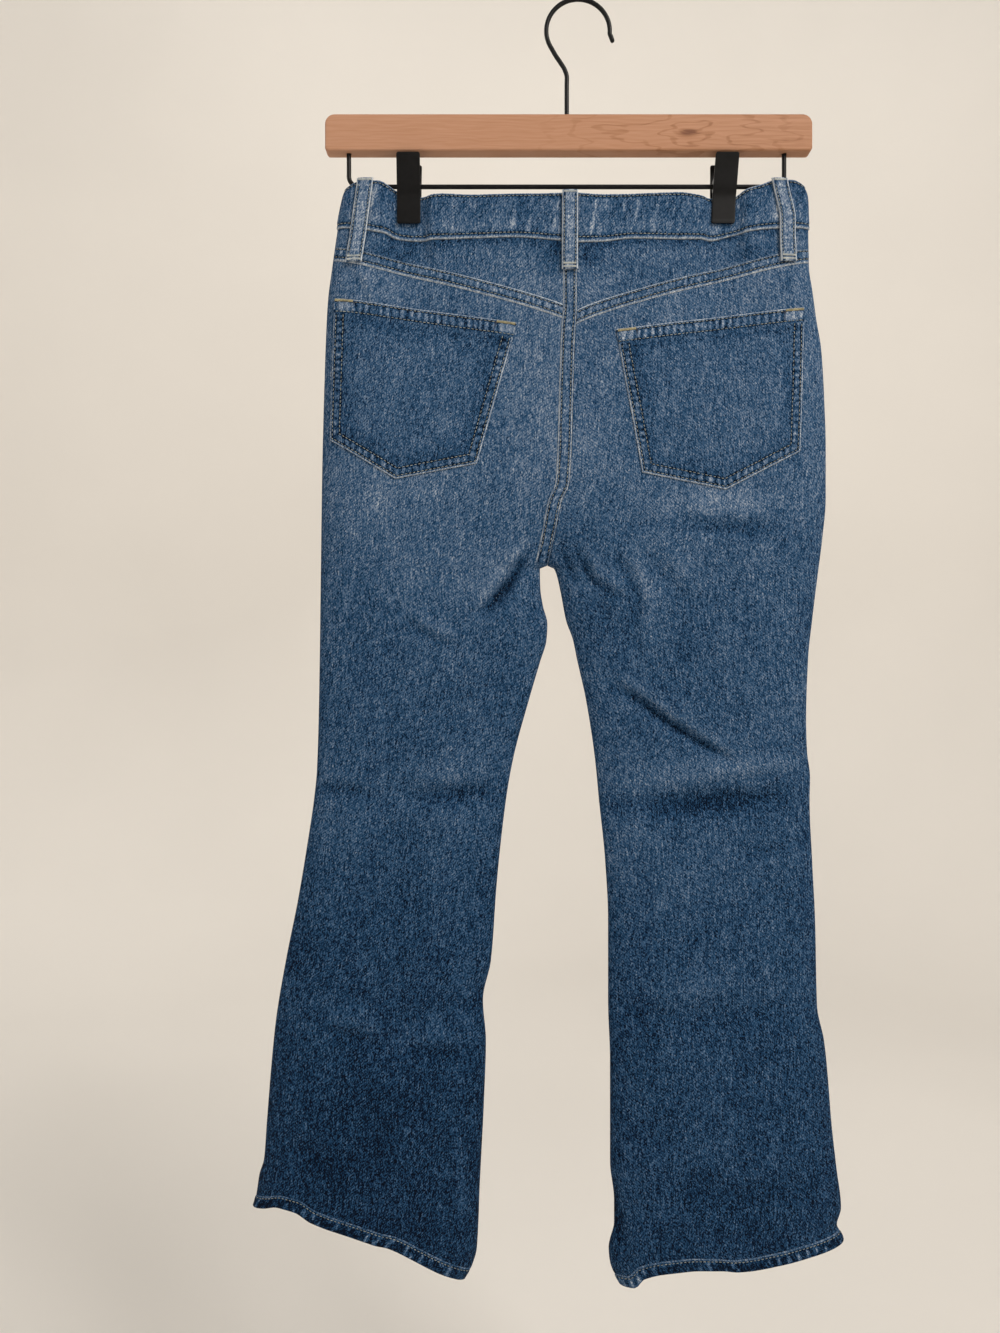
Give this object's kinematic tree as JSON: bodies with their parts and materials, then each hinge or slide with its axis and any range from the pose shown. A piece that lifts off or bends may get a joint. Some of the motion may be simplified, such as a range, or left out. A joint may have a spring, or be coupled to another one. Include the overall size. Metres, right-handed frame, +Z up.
{
  "type": "flared jeans on a wooden clip hanger",
  "caption": "Flared blue jeans, empty and hung flat by the waistband from the two clips of a wooden bar hanger with a wire hook.",
  "frame": {"origin": "inner top of the hanger's hook bend, where a rail or peg carries the hanger", "axes": "+Z up the hook, away from the hems; +Y from the jeans' seat side to their fly side; +X to the wearer's right"},
  "size_m": [0.4543, 0.0346, 0.989],
  "materials": {
    "denim": "mid-blue cotton twill, faded at the seat, thighs and seams",
    "zip_tape": "navy woven tape with metal teeth",
    "button_metal": "antique brass",
    "wood": "pale hardwood, clear satin varnish",
    "black_wire": "black satin coating",
    "black_sheet": "black satin coating",
    "spring_steel": "bright spring wire"
  },
  "bodies": {
    "root": {"waistband": "denim", "yoke_left": "denim", "yoke_right": "denim", "back_panel_left": "denim", "back_panel_right": "denim", "front_panel_left": "denim", "front_panel_right": "denim", "hem_left": "denim", "hem_right": "denim", "seat_seam": "denim", "yoke_seam_left": "denim", "yoke_seam_right": "denim", "back_pocket_left": "denim", "back_pocket_right": "denim", "belt_loop_back_centre": "denim", "belt_loop_back_left": "denim", "belt_loop_back_right": "denim", "belt_loop_front_left": "denim", "belt_loop_front_right": "denim", "hip_piece_left": "denim", "hip_piece_right": "denim", "fly_flap": "denim", "zip": "zip_tape", "zip_slider": "button_metal", "waist_button": "button_metal", "hanger_bar": "wood", "hanger_hook": "black_wire", "clip_rod": "black_wire", "clip_left_front": "black_sheet", "clip_left_rear": "black_sheet", "clip_right_front": "black_sheet", "clip_right_rear": "black_sheet", "clip_spring_left": "spring_steel", "clip_spring_right": "spring_steel"}
  },
  "joints": []
}
